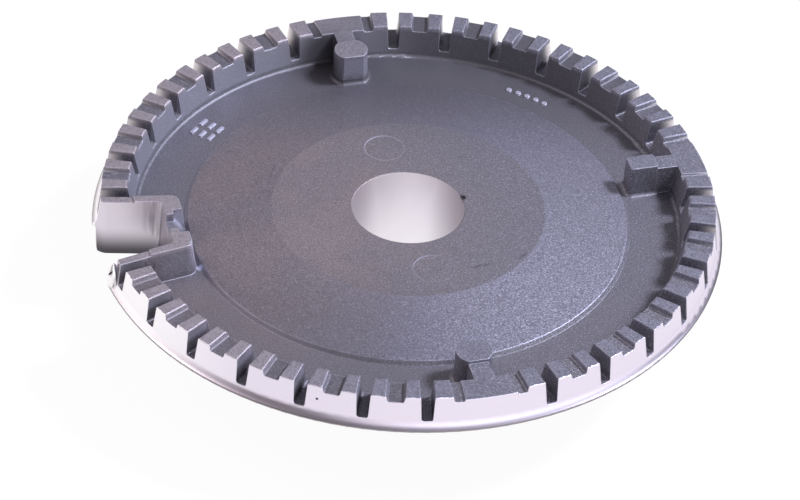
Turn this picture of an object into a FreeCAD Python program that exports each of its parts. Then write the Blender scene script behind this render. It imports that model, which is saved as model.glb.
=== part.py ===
import FreeCAD, Part
import math
import os
import Sketcher

# Flame spreader of a large gas burner, one light-alloy casting with turned faces.
# Millimetres. +Z is up, the way gas leaves the centre hole, and the burner's axis is the Z axis.
# The origin is on the axis at the lower end of the feed tube, on which the part stands.
# The igniter cut-out is on the -X side, the three cap posts on +X, +Y and -Y.
# Inside the body, heights are measured from the lip plane, and the placement lifts it.

doc = FreeCAD.newDocument("FlameSpreader")

# Driving dimensions: name, value, what it is
SIZES = [
    # Revolved section
    ("lip_radius", 50.0, "outer radius of the thin lip"),
    ("lip_top", 0.15, "height of the lip's upper edge"),
    ("lip_under", 0.2, "depth of the lip's lower face"),
    ("lip_round", 0.15, "rounding of the lip's lower edge"),
    ("band_foot_radius", 49.2, "radius of the turned band where the lip flares out"),
    ("band_foot_height", 0.75, "height of that place"),
    ("band_foot_round", 1.6, "hollow rounding between band and lip"),
    ("crest_outer_radius", 48.5, "outer radius of the tooth tops"),
    ("crest_inner_radius", 44.45, "inner radius of the tooth tops"),
    ("crest_height", 5.43, "height of the tooth tops"),
    ("crest_inner_round", 0.35, "rounding of the tooth tops' inner edge"),
    ("crest_outer_round", 0.12, "rounding of the tooth tops' outer edge"),
    ("gutter_outer_radius", 43.25, "radius of the foot of the wall's inner face"),
    ("gutter_round", 0.6, "fillet between gutter floor and wall"),
    ("step_radius", 34.85, "radius of the small step below the cone"),
    ("step_height", 0.65, "height of that step"),
    ("step_run", 0.5, "slope of the step's face"),
    ("disc_radius", 21.7, "radius of the flat centre disc"),
    ("disc_height", 2.25, "height of the centre disc"),
    ("bore_radius", 8.9, "radius of the gas feed hole"),
    ("bore_edge_round", 0.2, "rounding of the hole's upper edge"),
    ("tube_end_depth", 15.0, "depth of the feed tube's lower end"),
    ("tube_end_radius", 11.3, "outer radius of the feed tube at its lower end"),
    ("tube_root_radius", 12.2, "outer radius of the feed tube under the disc"),
    ("tube_root_round", 2.0, "fillet between tube and disc underside"),
    ("disc_under_depth", 0.55, "depth of the disc's underside"),
    ("disc_under_radius", 20.0, "radius where the underside starts to slope"),
    ("gutter_under_depth", 2.5, "depth of the gutter's underside"),
    ("gutter_under_radius", 36.0, "radius where that slope ends"),
    ("skirt_inner_radius", 41.5, "inner radius of the locating skirt"),
    ("skirt_outer_radius", 44.4, "outer radius of the locating skirt"),
    ("skirt_draft_run", 0.3, "draft of the skirt's inner face"),
    ("skirt_depth", 4.5, "depth of the skirt's lower edge"),
    ("under_round", 0.5, "roundings of the underside"),
    # Flame ports
    ("port_pitch", 11.25, "angle from one deep port to the next"),
    ("port_floor_height", 1.4, "height of the deep ports' floor"),
    ("port_top_width", 2.1, "width of a deep port at the tooth tops"),
    ("port_floor_width", 1.7, "width of a deep port at its floor"),
    ("port_round", 0.35, "rounding in the deep ports' lower corners"),
    ("port_edge", 0.12, "width and height of the bevel along the ports' upper edges"),
    ("port_start_radius", 43.0, "radius where the ports' cutting starts"),
    ("notch_depth", 0.9, "depth of the shallow ports"),
    ("notch_top_width", 2.8, "width of a shallow port at the tooth tops"),
    ("notch_floor_width", 2.45, "width of a shallow port at its floor"),
    ("notch_round", 0.3, "rounding in the shallow ports' lower corners"),
    ("side_notch_angle", 5.7, "angle from a wide land's middle to its side port"),
    ("side_notch_top_width", 1.8, "width of a side port at the tooth tops"),
    ("side_notch_floor_width", 1.5, "width of a side port at its floor"),
    ("land_drop", 0.55, "how far the wide lands lie below the tooth tops"),
    ("land_half_width", 4.4, "half width of the cut that lowers a wide land"),
    # Posts and ribs that locate the cap
    ("post_middle_radius", 38.65, "radius of the round posts' axis"),
    ("post_radius", 2.95, "radius of the round posts at the gutter floor"),
    ("post_flat_radius", 36.25, "radius of the round posts' flat inner face"),
    ("post_back_radius", 40.95, "radius where the wide lands cut the backs of the round posts"),
    ("post_draft", 2.0, "draft angle of posts and ribs"),
    ("block_inner_radius", 36.25, "inner radius of the square post"),
    ("block_outer_radius", 41.1, "outer radius of the square post"),
    ("block_width", 3.6, "width of the square post at the gutter floor"),
    ("block_round", 0.5, "rounding of the square post's corners"),
    ("rib_width", 3.4, "width of the ribs at the gutter floor"),
    ("foot_round", 0.6, "fillet at the foot of the posts"),
    # Igniter cut-out on the -X side
    ("chute_end", 36.0, "distance of the chute's end wall face from the axis"),
    ("chute_slope", 0.1718, "sideways run of the chute's outer faces"),
    ("chute_round", 1.3, "rounding of the chute's outer corners"),
    ("chute_draft", 7.0, "draft angle of the chute's outer faces"),
    ("cut_end", 38.7, "distance of the cut-out's end face from the axis"),
    ("cut_end_half_width", 5.05, "half width of the cut-out at its end face"),
    ("cut_slope", 0.229, "sideways run of the cut-out's side faces"),
    ("cut_round", 0.9, "rounding of the cut-out's inner corners"),
    ("cut_mouth_round", 1.0, "rounding where the cut-out meets the band"),
    ("cut_draft", 5.0, "draft angle of the cut-out's faces"),
    ("lug_outer", 48.75, "distance from the axis where the lug on the cut-out's +Y side ends"),
    ("lug_short", 46.2, "distance from the axis where the lug on its -Y side ends"),
    ("lug_width", 1.1, "thickness of those lugs below the lip"),
    ("swell_distance", 48.77, "distance from the axis of the rounded swelling at the cut-out's corner"),
    ("swell_side", 7.41, "sideways distance of that swelling"),
    ("swell_radius", 1.1, "radius of that swelling"),
    ("swell_height", 4.9, "height of that swelling"),
    ("cut_land_drop", 0.3, "how far the wall beside the cut-out lies below the chute"),
    ("cut_land_radius", 42.85, "distance from the axis where that step is"),
    ("gap_half_width", 1.75, "half width of the channel in the chute's end wall"),
    ("gap_depth", 1.5, "depth of that channel"),
    ("ramp_half_width", 2.8, "half width of the ramp behind the channel"),
    ("ramp_top", 37.5, "distance of the ramp's upper edge from the axis"),
    ("ramp_foot", 35.3, "distance of the ramp's lower edge from the axis"),
    ("ramp_foot_height", 0.9, "height of the ramp's lower edge"),
    # Small marks
    ("ejector_radius", 3.2, "radius of the two ejector marks"),
    ("ejector_depth", 0.08, "depth of the ejector marks"),
    ("ejector_distance", 15.5, "distance of the ejector marks from the axis"),
    ("bar_length", 1.7, "length of the raised bars"),
    ("bar_width", 0.55, "width of the raised bars"),
    ("mark_height", 0.25, "height of the raised bars and dots"),
    ("dot_radius", 0.45, "radius of the raised dots"),
    ("nick_radius", 0.5, "radius of the small flaw at the hole's edge"),
    ("nick_depth", 0.4, "depth of that flaw"),
]

sheet = doc.addObject("Spreadsheet::Sheet", "Sizes")
for row, (name, value, note) in enumerate(SIZES, 1):
    sheet.set("A%d" % row, name)
    sheet.set("B%d" % row, str(value))
    sheet.set("C%d" % row, note)
    sheet.setAlias("B%d" % row, name)
doc.recompute()


class Dim:
    """A size with its number and the sheet expression that gives it."""

    def __init__(self, value, text):
        self.value = value
        self.text = text

    def _join(self, other, sign, value):
        return Dim(value, "(%s %s %s)" % (self.text, sign, other.text))

    def __add__(self, other):
        other = as_dim(other)
        return self._join(other, "+", self.value + other.value)

    def __sub__(self, other):
        other = as_dim(other)
        return self._join(other, "-", self.value - other.value)

    def __mul__(self, other):
        other = as_dim(other)
        return self._join(other, "*", self.value * other.value)

    def __truediv__(self, other):
        other = as_dim(other)
        return self._join(other, "/", self.value / other.value)

    def __neg__(self):
        return Dim(-self.value, "(0 - %s)" % self.text)


def as_dim(number):
    if isinstance(number, Dim):
        return number
    return Dim(float(number), repr(float(number)))


def sine(angle):
    return Dim(math.sin(math.radians(angle.value)), "sin(%s)" % angle.text)


def cosine(angle):
    return Dim(math.cos(math.radians(angle.value)), "cos(%s)" % angle.text)


S = {name: Dim(value, "Sizes." + name) for name, value, note in SIZES}

body = doc.addObject("PartDesign::Body", "flame_spreader")
body.Label = "flame_spreader"


def origin_item(role):
    for item in body.Origin.OriginFeatures:
        if item.Role == role:
            return item
    raise ValueError(role)


def new_sketch(name, role):
    sketch = body.newObject("Sketcher::SketchObject", name)
    sketch.AttachmentSupport = (origin_item(role), [""])
    sketch.MapMode = "FlatFace"
    return sketch


def level_sketch(name, height):
    """A sketch on a level plane at a height above the lip plane."""
    sketch = new_sketch(name, "XY_Plane")
    height = as_dim(height)
    sketch.AttachmentOffset = FreeCAD.Placement(FreeCAD.Vector(0, 0, height.value), FreeCAD.Rotation())
    sketch.setExpression("AttachmentOffset.Base.z", height.text)
    return sketch


def radial_sketch(name, angle, radius):
    """A sketch on an upright plane square to the radius at an angle, x sideways and y up."""
    sketch = new_sketch(name, "YZ_Plane")
    across = radius * sine(angle)
    along = radius * cosine(angle)
    turn = FreeCAD.Rotation(FreeCAD.Vector(0, 1, 0), angle.value)
    sketch.AttachmentOffset = FreeCAD.Placement(FreeCAD.Vector(across.value, 0, along.value), turn)
    sketch.setExpression("AttachmentOffset.Base.x", across.text)
    sketch.setExpression("AttachmentOffset.Base.z", along.text)
    sketch.setExpression("AttachmentOffset.Rotation.Angle", angle.text)
    return sketch


def fix_point(sketch, geo, pos, x, y, tag):
    """Holds one point of a sketch at sheet-driven coordinates."""
    for axis, size in (("X", as_dim(x)), ("Y", as_dim(y))):
        index = sketch.addConstraint(
            Sketcher.Constraint("Distance" + axis, -1, 1, geo, pos, size.value))
        label = "%s_%s" % (tag, axis.lower())
        sketch.renameConstraint(index, label)
        sketch.setExpression("Constraints." + label, size.text)


def unit(a, b):
    length = math.hypot(b[0] - a[0], b[1] - a[1])
    return (b[0] - a[0]) / length, (b[1] - a[1]) / length


def closed_outline(sketch, corners, tag="p"):
    """Draws a closed outline. Each corner is (x, y) or (x, y, rounding radius)."""
    count = len(corners)
    pts = [(as_dim(c[0]).value, as_dim(c[1]).value) for c in corners]
    cuts = []
    for i, corner in enumerate(corners):
        if len(corner) == 3:
            back = unit(pts[i], pts[i - 1])
            ahead = unit(pts[i], pts[(i + 1) % count])
            cos_full = max(-1.0, min(1.0, back[0] * ahead[0] + back[1] * ahead[1]))
            half = math.acos(cos_full) / 2
            radius = as_dim(corner[2]).value
            reach = radius / math.tan(half)
            start = (pts[i][0] + back[0] * reach, pts[i][1] + back[1] * reach)
            end = (pts[i][0] + ahead[0] * reach, pts[i][1] + ahead[1] * reach)
            mid = (back[0] + ahead[0], back[1] + ahead[1])
            size = math.hypot(mid[0], mid[1])
            gap = radius / math.sin(half)
            centre = (pts[i][0] + mid[0] / size * gap, pts[i][1] + mid[1] / size * gap)
            cuts.append((start, end, centre, radius))
        else:
            cuts.append((pts[i], pts[i], None, 0))
    lines = []
    for i in range(count):
        a = cuts[i][1]
        b = cuts[(i + 1) % count][0]
        lines.append(sketch.addGeometry(Part.LineSegment(
            FreeCAD.Vector(a[0], a[1], 0), FreeCAD.Vector(b[0], b[1], 0)), False))
    for i, corner in enumerate(corners):
        before = lines[i - 1]
        after = lines[i]
        name = "%s%d" % (tag, i)
        if len(corner) == 2:
            sketch.addConstraint(Sketcher.Constraint("Coincident", before, 2, after, 1))
            fix_point(sketch, after, 1, corner[0], corner[1], name)
            continue
        start, end, centre, radius = cuts[i]
        first = math.atan2(start[1] - centre[1], start[0] - centre[0])
        last = math.atan2(end[1] - centre[1], end[0] - centre[0])
        turn = (last - first) % (2 * math.pi)
        forward = turn < math.pi
        circle = Part.Circle(FreeCAD.Vector(centre[0], centre[1], 0), FreeCAD.Vector(0, 0, 1), radius)
        span = (first, last) if forward else (last, first)
        arc = sketch.addGeometry(Part.ArcOfCircle(circle, span[0], span[1]), False)
        ends = (1, 2) if forward else (2, 1)
        sketch.addConstraint(Sketcher.Constraint("Tangent", before, 2, arc, ends[0]))
        sketch.addConstraint(Sketcher.Constraint("Tangent", after, 1, arc, ends[1]))
        index = sketch.addConstraint(Sketcher.Constraint("Radius", arc, radius))
        sketch.renameConstraint(index, name + "_r")
        sketch.setExpression("Constraints." + name + "_r", as_dim(corner[2]).text)
        point = sketch.addGeometry(Part.Point(FreeCAD.Vector(pts[i][0], pts[i][1], 0)), True)
        fix_point(sketch, point, 1, corner[0], corner[1], name)
        sketch.addConstraint(Sketcher.Constraint("PointOnObject", point, 1, before))
        sketch.addConstraint(Sketcher.Constraint("PointOnObject", point, 1, after))
    return lines


def full_circle(sketch, x, y, radius, tag):
    x, y, radius = as_dim(x), as_dim(y), as_dim(radius)
    circle = sketch.addGeometry(Part.Circle(
        FreeCAD.Vector(x.value, y.value, 0), FreeCAD.Vector(0, 0, 1), radius.value), False)
    fix_point(sketch, circle, 3, x, y, tag)
    index = sketch.addConstraint(Sketcher.Constraint("Radius", circle, radius.value))
    sketch.renameConstraint(index, tag + "_r")
    sketch.setExpression("Constraints." + tag + "_r", radius.text)


def volume():
    doc.recompute()
    return body.Shape.Volume


def feature(kind, name, sketch, length, taper=None, reverse=False, both=False):
    """Pads or pockets a sketch by a length and checks that the body gained or lost volume."""
    before = volume() if body.Tip else 0.0
    item = body.newObject("PartDesign::" + kind, name)
    item.Profile = sketch
    length = as_dim(length)
    item.Length = length.value
    item.setExpression("Length", length.text)
    item.Reversed = reverse
    if both:
        item.Midplane = True
    if taper is not None:
        taper = as_dim(taper)
        item.TaperAngle = taper.value
        item.setExpression("TaperAngle", taper.text)
    after = volume()
    gained = after - before
    if (kind == "Pad") != (gained > 0) or abs(gained) < 0.01:
        raise ValueError("%s changed the volume by %.3f" % (name, gained))
    print("%-24s %+10.2f mm3  total %.1f" % (name, gained, after))
    return item


def pattern(name, originals, steps):
    """Turns features about the axis; steps is a list of (whole angle, count)."""
    before = volume()
    turns = []
    if len(steps) > 1:
        item = body.newObject("PartDesign::MultiTransform", name)
        item.Originals = originals
        for n, (angle, count) in enumerate(steps):
            turn = body.newObject("PartDesign::PolarPattern", "%s_%d" % (name, n + 1))
            turns.append(turn)
        item.Transformations = turns
    else:
        item = body.newObject("PartDesign::PolarPattern", name)
        item.Originals = originals
        turns.append(item)
    for turn, (angle, count) in zip(turns, steps):
        angle = as_dim(angle)
        turn.Axis = (origin_item("Z_Axis"), [""])
        turn.Angle = angle.value
        turn.setExpression("Angle", angle.text)
        turn.Occurrences = count
    body.Tip = item
    after = volume()
    if abs(after - before) < 0.01:
        raise ValueError(name + " changed nothing")
    print("%-24s %+10.2f mm3  total %.1f" % (name, after - before, after))
    return item


# Revolved section: centre disc, cone, gutter, wall with its turned band, lip, skirt and feed tube
section = new_sketch("section", "XZ_Plane")
closed_outline(section, [
    (S["bore_radius"], S["disc_height"], S["bore_edge_round"]),
    (S["disc_radius"], S["disc_height"]),
    (S["step_radius"], S["step_height"]),
    (S["step_radius"] + S["step_run"], as_dim(0)),
    (S["gutter_outer_radius"], as_dim(0), S["gutter_round"]),
    (S["crest_inner_radius"], S["crest_height"], S["crest_inner_round"]),
    (S["crest_outer_radius"], S["crest_height"], S["crest_outer_round"]),
    (S["band_foot_radius"], S["band_foot_height"], S["band_foot_round"]),
    (S["lip_radius"], S["lip_top"]),
    (S["lip_radius"], -S["lip_under"], S["lip_round"]),
    (S["skirt_outer_radius"], -S["lip_under"], S["under_round"]),
    (S["skirt_outer_radius"], -S["skirt_depth"], S["under_round"]),
    (S["skirt_inner_radius"], -S["skirt_depth"], S["under_round"]),
    (S["skirt_inner_radius"] - S["skirt_draft_run"], -S["gutter_under_depth"], S["under_round"]),
    (S["gutter_under_radius"], -S["gutter_under_depth"]),
    (S["disc_under_radius"], -S["disc_under_depth"]),
    (S["tube_root_radius"], -S["disc_under_depth"], S["tube_root_round"]),
    (S["tube_end_radius"], -S["tube_end_depth"], S["under_round"]),
    (S["bore_radius"], -S["tube_end_depth"]),
])
turned = body.newObject("PartDesign::Revolution", "turned_section")
turned.Profile = section
turned.ReferenceAxis = (section, ["V_Axis"])
turned.Angle = 360.0
print("turned_section volume %.1f" % volume())

# Raised chute around the igniter cut-out, from the tooth tops down to the skirt's edge
chute = level_sketch("chute_outline", S["crest_height"])
chute_back = as_dim(44.0)
closed_outline(chute, [
    (-S["chute_end"], S["chute_end"] * S["chute_slope"], S["chute_round"]),
    (-chute_back, chute_back * S["chute_slope"]),
    (-chute_back, -(chute_back * S["chute_slope"])),
    (-S["chute_end"], -(S["chute_end"] * S["chute_slope"]), S["chute_round"]),
])
feature("Pad", "chute_walls", chute, S["crest_height"] + S["skirt_depth"], taper=S["chute_draft"],
        reverse=True)

# Turned relief that leaves the skirt round and the lip's lower face flat, also beside the chute
relief = new_sketch("relief_section", "XZ_Plane")
relief_far = S["lip_radius"] + 3.0
relief_low = S["skirt_depth"] + 2.0
closed_outline(relief, [
    (S["skirt_outer_radius"], -S["lip_under"], S["under_round"]),
    (S["skirt_outer_radius"], -relief_low),
    (relief_far, -relief_low),
    (relief_far, -S["lip_under"]),
])
before_relief = volume()
relief_cut = body.newObject("PartDesign::Groove", "skirt_relief")
relief_cut.Profile = relief
relief_cut.ReferenceAxis = (relief, ["V_Axis"])
relief_cut.Angle = 360.0
relief_change = volume() - before_relief
if relief_change > -0.01:
    raise ValueError("skirt_relief changed the volume by %.3f" % relief_change)
print("skirt_relief             %+10.2f mm3" % relief_change)

# Lugs that carry the cut-out's side walls down below the lip; the cut-out trims their inner faces
lug = level_sketch("lug_outline", -S["lip_under"] / 2)
lug_start = S["skirt_inner_radius"] + 1.0
lug_near = S["cut_end_half_width"] + (lug_start - S["cut_end"]) * S["cut_slope"]
for side, lug_end, tag in ((1, S["lug_outer"], "left"), (-1, S["lug_short"], "right")):
    lug_far = S["cut_end_half_width"] + (lug_end - S["cut_end"]) * S["cut_slope"]
    inward = as_dim(-1.5 * side)
    outward = S["lug_width"] * side
    closed_outline(lug, [
        (-lug_start, lug_near * side + inward),
        (-lug_end, lug_far * side + inward),
        (-lug_end, lug_far * side + outward),
        (-lug_start, lug_near * side + outward),
    ], tag)
feature("Pad", "lugs", lug, S["skirt_depth"] - S["lip_under"] / 2, reverse=True)

# Square post on +X
block = level_sketch("block_outline", 0)
block_half = S["block_width"] / 2
closed_outline(block, [
    (S["block_inner_radius"], -block_half, S["block_round"]),
    (S["block_outer_radius"], -block_half, S["block_round"]),
    (S["block_outer_radius"], block_half, S["block_round"]),
    (S["block_inner_radius"], block_half, S["block_round"]),
])
feature("Pad", "square_post", block, S["crest_height"], taper=-S["post_draft"])

# Round posts on +Y and -Y, each with a flat towards the axis
post = level_sketch("post_outline", 0)
post_y = S["post_middle_radius"].value
flat_y = S["post_flat_radius"].value
half_flat = math.sqrt(S["post_radius"].value ** 2 - (flat_y - post_y) ** 2)
flat_end = math.atan2(flat_y - post_y, half_flat)
arc = post.addGeometry(Part.ArcOfCircle(
    Part.Circle(FreeCAD.Vector(0, post_y, 0), FreeCAD.Vector(0, 0, 1), S["post_radius"].value),
    flat_end, math.pi - flat_end), False)
line = post.addGeometry(Part.LineSegment(
    FreeCAD.Vector(-half_flat, flat_y, 0), FreeCAD.Vector(half_flat, flat_y, 0)), False)
post.addConstraint(Sketcher.Constraint("Coincident", arc, 2, line, 1))
post.addConstraint(Sketcher.Constraint("Coincident", line, 2, arc, 1))
post.addConstraint(Sketcher.Constraint("Horizontal", line))
fix_point(post, arc, 3, 0, S["post_middle_radius"], "middle")
index = post.addConstraint(Sketcher.Constraint("Radius", arc, S["post_radius"].value))
post.renameConstraint(index, "post_r")
post.setExpression("Constraints.post_r", S["post_radius"].text)
index = post.addConstraint(Sketcher.Constraint("DistanceY", -1, 1, line, 1, flat_y))
post.renameConstraint(index, "flat_y")
post.setExpression("Constraints.flat_y", S["post_flat_radius"].text)
round_post = feature("Pad", "round_post", post, S["crest_height"], taper=-S["post_draft"])
pattern("round_posts", [round_post], [(360.0, 2)])

# Ribs that tie the three posts to the wall, level with the wide lands
rib = level_sketch("rib_outline", 0)
rib_half = S["rib_width"] / 2
rib_start = S["block_outer_radius"] - 1.2
rib_end = S["crest_inner_radius"] + 1.0
closed_outline(rib, [
    (-rib_half, -rib_end),
    (rib_half, -rib_end),
    (rib_half, -rib_start),
    (-rib_half, -rib_start),
])
rib_pad = feature("Pad", "rib", rib, S["crest_height"] - S["land_drop"], taper=-S["post_draft"])
pattern("ribs", [rib_pad], [(180.0, 3)])

# Fillets at the feet of the posts, on the gutter floor
foot_edges = []
for n, edge in enumerate(body.Shape.Edges, 1):
    ends = edge.BoundBox
    middle = edge.valueAt((edge.FirstParameter + edge.LastParameter) / 2)
    radius = math.hypot(middle.x, middle.y)
    level = abs(ends.ZMin) < 0.001 and abs(ends.ZMax) < 0.001
    on_post = S["step_radius"].value + 0.3 < radius < S["block_outer_radius"].value + 0.6
    whole_ring = edge.Length > 40
    if level and on_post and not whole_ring and middle.x > -30:
        foot_edges.append("Edge%d" % n)
print("foot edges", len(foot_edges))
base_feature = body.Tip
feet = body.newObject("PartDesign::Fillet", "post_feet")
feet.Base = (base_feature, foot_edges)
feet.Radius = S["foot_round"].value
feet.setExpression("Radius", S["foot_round"].text)
print("post_feet volume %.2f" % volume())

# Wide lands behind the posts, a little lower than the teeth; they cut the round posts' backs straight
land = level_sketch("land_cut_outline", S["crest_height"] - S["land_drop"])
land_far = S["lip_radius"] + 2.0
land_near = S["post_back_radius"]
closed_outline(land, [
    (-S["land_half_width"], -land_far),
    (S["land_half_width"], -land_far),
    (S["land_half_width"], -land_near),
    (-S["land_half_width"], -land_near),
])
land_cut = feature("Pocket", "land_cut", land, S["land_drop"] + 1.0, reverse=True)
pattern("land_cuts", [land_cut], [(180.0, 3)])

# Wall beside the igniter cut-out, a little lower than the chute
side_land = level_sketch("side_land_outline", S["crest_height"] - S["cut_land_drop"])
side_half = S["land_half_width"] * 2
closed_outline(side_land, [
    (-land_far, -side_half),
    (-S["cut_land_radius"], -side_half),
    (-S["cut_land_radius"], side_half),
    (-land_far, side_half),
])
feature("Pocket", "side_land_cut", side_land, S["cut_land_drop"] + 1.0, reverse=True)

# Rounded swelling of the wall at one corner of the cut-out, which trims its inner side
swell = new_sketch("swell_outline", "XZ_Plane")
swell.AttachmentOffset = FreeCAD.Placement(
    FreeCAD.Vector(-S["swell_distance"].value, 0, S["swell_side"].value), FreeCAD.Rotation())
swell.setExpression("AttachmentOffset.Base.x", (-S["swell_distance"]).text)
swell.setExpression("AttachmentOffset.Base.z", S["swell_side"].text)
closed_outline(swell, [
    (0, -S["lip_under"] / 2),
    (S["swell_radius"] * 0.55, -S["lip_under"] / 2),
    (S["swell_radius"], S["swell_height"] * 0.33, S["swell_radius"] * 1.6),
    (S["swell_radius"], S["swell_height"] * 0.6, S["swell_radius"] * 1.3),
    (S["swell_radius"] * 0.35, S["swell_height"] * 0.9, S["swell_radius"]),
    (0, S["swell_height"]),
])
before_swell = volume()
swell_turn = body.newObject("PartDesign::Revolution", "corner_swelling")
swell_turn.Profile = swell
swell_turn.ReferenceAxis = (swell, ["V_Axis"])
swell_turn.Angle = 360.0
swell_change = volume() - before_swell
if swell_change < 0.01:
    raise ValueError("corner_swelling changed the volume by %.3f" % swell_change)
print("corner_swelling          %+10.2f mm3" % swell_change)

# Igniter cut-out, open outwards through wall, lip and floor; its mouth flares on the +Y side alone
cut = level_sketch("cut_outline", S["crest_height"])
mouth = S["crest_outer_radius"] - 0.9
mouth_half = S["cut_end_half_width"] + (mouth - S["cut_end"]) * S["cut_slope"]
beyond = S["lip_radius"] + 3.6
beyond_half = S["cut_end_half_width"] + (beyond - S["cut_end"]) * S["cut_slope"]
closed_outline(cut, [
    (-S["cut_end"], -S["cut_end_half_width"], S["cut_round"]),
    (-S["cut_end"], S["cut_end_half_width"], S["cut_round"]),
    (-mouth, mouth_half, S["cut_mouth_round"]),
    (-(mouth + 2.6), mouth_half + 3.4),
    (-beyond, mouth_half + 3.4),
    (-beyond, -beyond_half),
])
feature("Pocket", "igniter_cut", cut, S["crest_height"] + S["skirt_depth"] + 0.5,
        taper=-S["cut_draft"])

# Channel in the chute's end wall that leads gas to the igniter, with a ramp behind it
gap = level_sketch("gap_outline", S["crest_height"] - S["gap_depth"])
closed_outline(gap, [
    (-(S["cut_end"] + 1.0), -S["gap_half_width"]),
    (-(S["chute_end"] - 2.0), -S["gap_half_width"]),
    (-(S["chute_end"] - 2.0), S["gap_half_width"]),
    (-(S["cut_end"] + 1.0), S["gap_half_width"]),
])
feature("Pocket", "gap_cut", gap, S["gap_depth"] + 1.0, reverse=True)
ramp = new_sketch("ramp_outline", "XZ_Plane")
closed_outline(ramp, [
    (-S["ramp_top"], S["crest_height"] - S["gap_depth"]),
    (-S["ramp_foot"], S["ramp_foot_height"]),
    (-(S["ramp_foot"] - 1.5), S["ramp_foot_height"]),
    (-(S["ramp_foot"] - 1.5), S["crest_height"] + 1.0),
    (-S["ramp_top"], S["crest_height"] + 1.0),
])
feature("Pocket", "ramp_cut", ramp, S["ramp_half_width"] * 2, both=True)

# Ejector marks on the disc
marks = level_sketch("ejector_outline", S["disc_height"])
full_circle(marks, 0, S["ejector_distance"], S["ejector_radius"], "upper")
full_circle(marks, 0, -S["ejector_distance"], S["ejector_radius"], "lower")
feature("Pocket", "ejector_marks", marks, S["ejector_depth"])

# Six raised bars, two columns of three, and a row of five dots on the gutter floor
bars = level_sketch("bar_outline", 0)
number = 0
for column in (131.2, 135.0):
    for radius in (37.3, 38.95, 40.6):
        turn = math.radians(column)
        along = (-math.sin(turn), math.cos(turn))
        out = (math.cos(turn), math.sin(turn))
        corners = []
        for side, end in ((-1, -1), (-1, 1), (1, 1), (1, -1)):
            x = (as_dim(radius * out[0]) + S["bar_length"] * (end * along[0] / 2)
                 + S["bar_width"] * (side * out[0] / 2))
            y = (as_dim(radius * out[1]) + S["bar_length"] * (end * along[1] / 2)
                 + S["bar_width"] * (side * out[1] / 2))
            corners.append((x, y))
        closed_outline(bars, corners, "bar%d_" % number)
        number += 1
feature("Pad", "raised_bars", bars, S["mark_height"])
dots = level_sketch("dot_outline", 0)
for n, angle in enumerate((39.5, 42.0, 44.5, 47.0, 49.5)):
    turn = math.radians(angle)
    full_circle(dots, 38.7 * math.cos(turn), 38.7 * math.sin(turn), S["dot_radius"], "dot%d" % n)
feature("Pad", "raised_dots", dots, S["mark_height"])

# Small casting flaw at the hole's edge, towards +X
nick = level_sketch("nick_outline", S["disc_height"])
full_circle(nick, S["bore_radius"] + 0.15, 0.6, S["nick_radius"], "nick")
feature("Pocket", "edge_nick", nick, S["nick_depth"])


def port(name, angle, floor, top_width, floor_width, rounding):
    """One radial port with sloping sides and bevelled upper edges, cut outwards through the wall."""
    sketch = radial_sketch(name + "_outline", angle, S["port_start_radius"])
    half_top = top_width / 2
    above = as_dim(0.6)
    flared = half_top + S["port_edge"] + above
    closed_outline(sketch, [
        (-(floor_width / 2), floor, rounding),
        (floor_width / 2, floor, rounding),
        (half_top, S["crest_height"] - S["port_edge"]),
        (flared, S["crest_height"] + above),
        (-flared, S["crest_height"] + above),
        (-half_top, S["crest_height"] - S["port_edge"]),
    ])
    return feature("Pocket", name, sketch, S["lip_radius"] + 2.0 - S["port_start_radius"], reverse=True)


# Deep ports: 28, seven in each quarter, none at the posts or the cut-out
deep = port("deep_port", S["port_pitch"], S["port_floor_height"], S["port_top_width"],
            S["port_floor_width"], S["port_round"])
pattern("deep_ports", [deep], [(S["port_pitch"] * 6, 7), (360.0, 4)])

# Shallow ports between the deep ones: six in each quarter
shallow_floor = S["crest_height"] - S["notch_depth"]
shallow = port("shallow_port", S["port_pitch"] * 1.5, shallow_floor, S["notch_top_width"],
               S["notch_floor_width"], S["notch_round"])
pattern("shallow_ports", [shallow], [(S["port_pitch"] * 5, 6), (360.0, 4)])

# Narrow shallow ports on both sides of each wide land
side_left = port("side_port_left", as_dim(-90.0) - S["side_notch_angle"], shallow_floor,
                 S["side_notch_top_width"], S["side_notch_floor_width"], S["notch_round"])
side_right = port("side_port_right", as_dim(-90.0) + S["side_notch_angle"], shallow_floor,
                  S["side_notch_top_width"], S["side_notch_floor_width"], S["notch_round"])
pattern("side_ports", [side_left, side_right], [(180.0, 3)])

body.Placement = FreeCAD.Placement(FreeCAD.Vector(0, 0, S["tube_end_depth"].value), FreeCAD.Rotation())
body.setExpression("Placement.Base.z", S["tube_end_depth"].text)
doc.recompute()

# Every object must have worked, and the body must be one valid solid
for item in doc.Objects:
    if "Invalid" in item.State or "Error" in item.State:
        raise ValueError("%s is %s" % (item.Name, item.State))
shape = body.Shape
if shape.isNull() or not shape.isValid() or len(shape.Solids) != 1:
    raise ValueError("the body is not one valid solid")
box = shape.BoundBox
print("solids %d faces %d volume %.1f mm3" % (len(shape.Solids), len(shape.Faces), shape.Volume))
print("box X %.3f %.3f Y %.3f %.3f Z %.3f %.3f" % (
    box.XMin, box.XMax, box.YMin, box.YMax, box.ZMin, box.ZMax))
print("centre of mass %.3f %.3f %.3f" % tuple(shape.Solids[0].CenterOfMass))

os.makedirs("parts", exist_ok=True)
shape.exportStep("parts/flame_spreader.step")
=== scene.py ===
import math
from collections import namedtuple

import bpy
from mathutils import Matrix, Vector


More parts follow.
